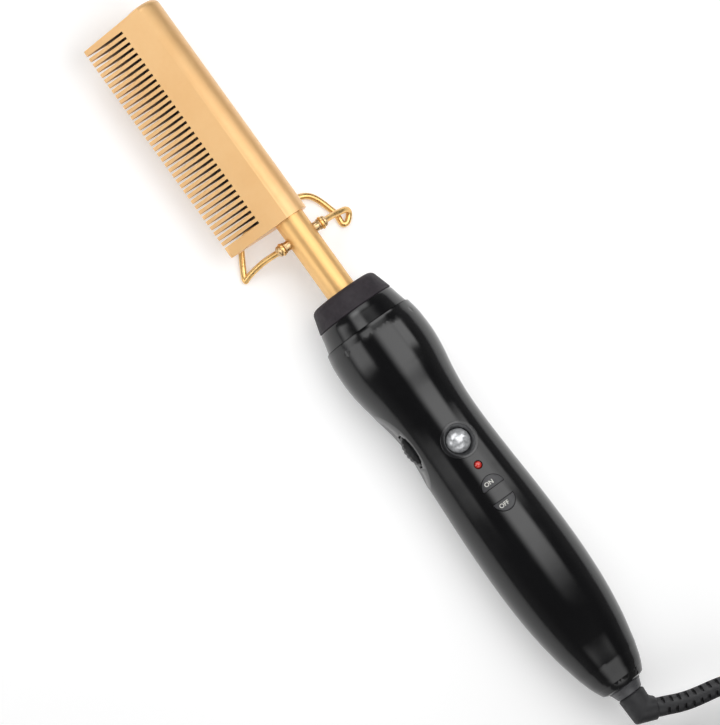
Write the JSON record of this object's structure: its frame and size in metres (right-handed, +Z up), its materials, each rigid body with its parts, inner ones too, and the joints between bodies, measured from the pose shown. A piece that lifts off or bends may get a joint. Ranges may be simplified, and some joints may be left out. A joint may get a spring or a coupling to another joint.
{
  "type": "electric hot comb",
  "caption": "Electric hot comb: heated metal comb head on a neck tube, round glossy handle with ON and OFF buttons, temperature wheel, wire stand and a coiled mains cord on a swivel.",
  "frame": {"origin": "middle of the flat under the handle, on the surface that the comb lies on", "axes": "+X along the comb towards the tip of the head, +Y towards the teeth, +Z up to the buttons"},
  "size_m": [0.4473, 0.0783, 0.0332],
  "materials": {
    "head_gold": "satin gold coating, sand blasted",
    "neck_gold": "bright gold, drawn tube",
    "wire_gold": "satin gold wire",
    "pivot_steel": "plain steel",
    "spreader_aluminium": "cast aluminium",
    "heater_ceramic": "sintered ceramic",
    "polyimide_film": "amber film",
    "sensor_body": "epoxy bead",
    "insulator_white": "heat resistant moulding",
    "lead_white": "silicone sleeve",
    "lead_yellow": "silicone sleeve",
    "lead_red": "insulated wire",
    "contact_brass": "plain brass",
    "collar_matt": "matt moulding",
    "shell_black": "high gloss moulding",
    "screw_dark": "blackened steel",
    "bezel_black": "gloss moulding",
    "window_clear": "clear domed plastic",
    "wheel_black": "fine texture",
    "dial_print": "printed plate",
    "potentiometer_blue": "moulded case",
    "lamp_red": "tinted lens",
    "button_grey": "satin moulding",
    "switch_body": "switch case",
    "board_green": "solder resist",
    "component_black": "moulded parts",
    "socket_grey": "semi gloss moulding",
    "rubber_black": "matt rubber",
    "cord_black": "soft cable jacket",
    "tie_black": "hook and loop tape",
    "plug_black": "moulded plug"
  },
  "bodies": {
    "handle": {"comb_head": "head_gold", "heat_spreader_upper": "spreader_aluminium", "heat_spreader_lower": "spreader_aluminium", "heater_element": "heater_ceramic", "heater_electrodes": "contact_brass", "insulation_film": "polyimide_film", "temperature_sensor": "sensor_body", "neck_tube": "neck_gold", "neck_insulator": "insulator_white", "heater_leads": "lead_white", "sensor_leads": "lead_yellow", "pivot_spacers": "neck_gold", "pivot_washers": "pivot_steel", "pivot_screws": "pivot_steel", "front_collar": "collar_matt", "nose_ring": "shell_black", "front_shell": "shell_black", "back_shell": "shell_black", "shell_screws": "screw_dark", "window_bezel": "bezel_black", "window_lens": "window_clear", "potentiometer": "potentiometer_blue", "pilot_lamp": "lamp_red", "button_switches": "switch_body", "control_board": "board_green", "board_components": "component_black", "board_screws": "pivot_steel", "swivel_socket": "socket_grey", "contact_springs": "contact_brass", "supply_leads": "lead_red"},
    "stand": {"stand_wire": "wire_gold"},
    "temperature_wheel": {"temperature_wheel": "wheel_black", "dial_plate": "dial_print"},
    "on_button": {"on_button": "button_grey", "on_plunger": "button_grey"},
    "off_button": {"off_button": "button_grey", "off_plunger": "button_grey"},
    "cord_swivel": {"swivel_elbow": "rubber_black", "slip_rings": "contact_brass", "cord_boot": "rubber_black", "cord_lead": "cord_black", "cord_coil": "cord_black", "cord_tie": "tie_black", "plug_body": "plug_black", "plug_blades": "contact_brass"}
  },
  "joints": [
    {"name": "stand_fold", "type": "hinge", "parent": "handle", "child": "stand", "pos_m": [0.0925, 0, 0.015], "axis": [0, 1, 0], "range_deg": [-16, 106]},
    {"name": "temperature_dial", "type": "hinge", "parent": "handle", "child": "temperature_wheel", "pos_m": [0.0098, 0.0045, 0.015], "axis": [0, 0, 1], "range_deg": [-135, 135]},
    {"name": "on_button_press", "type": "slide", "parent": "handle", "child": "on_button", "axis": [0, 0, -1], "range_m": [0, 0.0005], "stiffness_N_per_m": 1500, "springref_m": -0.0002},
    {"name": "off_button_press", "type": "slide", "parent": "handle", "child": "off_button", "axis": [0, 0, -1], "range_m": [0, 0.0005], "stiffness_N_per_m": 1500, "springref_m": -0.0002},
    {"name": "cord_swivel_turn", "type": "hinge", "parent": "handle", "child": "cord_swivel", "pos_m": [-0.1, 0, 0.015], "axis": [1, 0, 0], "continuous": true}
  ]
}
